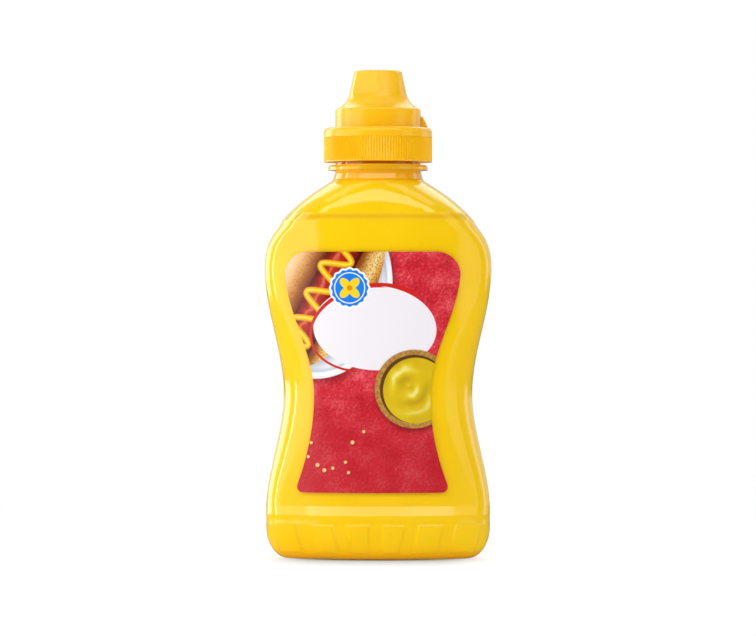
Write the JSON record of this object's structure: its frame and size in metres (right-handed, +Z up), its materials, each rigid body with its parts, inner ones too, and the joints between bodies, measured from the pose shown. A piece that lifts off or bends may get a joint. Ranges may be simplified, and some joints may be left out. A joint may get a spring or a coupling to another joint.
{
  "type": "mustard squeeze bottle",
  "caption": "Clear plastic squeeze bottle of yellow mustard with a waisted body, grip pads round the foot, printed labels front and back and a ribbed screw cap with a twist tip.",
  "frame": {"origin": "middle of the base, on the surface that the bottle stands on", "axes": "+Z up, the front label faces -Y, and +X is to the right of someone who faces the front label"},
  "size_m": [0.0742, 0.039, 0.159],
  "materials": {
    "clear_plastic": "clear gloss",
    "mustard": "smooth wet paste",
    "cap_plastic": "gloss",
    "front_print": "printed gloss film",
    "back_print": "printed gloss film"
  },
  "bodies": {
    "root": {"bottle": "clear_plastic", "mustard": "mustard", "cap_base": "cap_plastic", "cap_tip": "cap_plastic", "front_label": "front_print", "back_label": "back_print"}
  },
  "joints": []
}
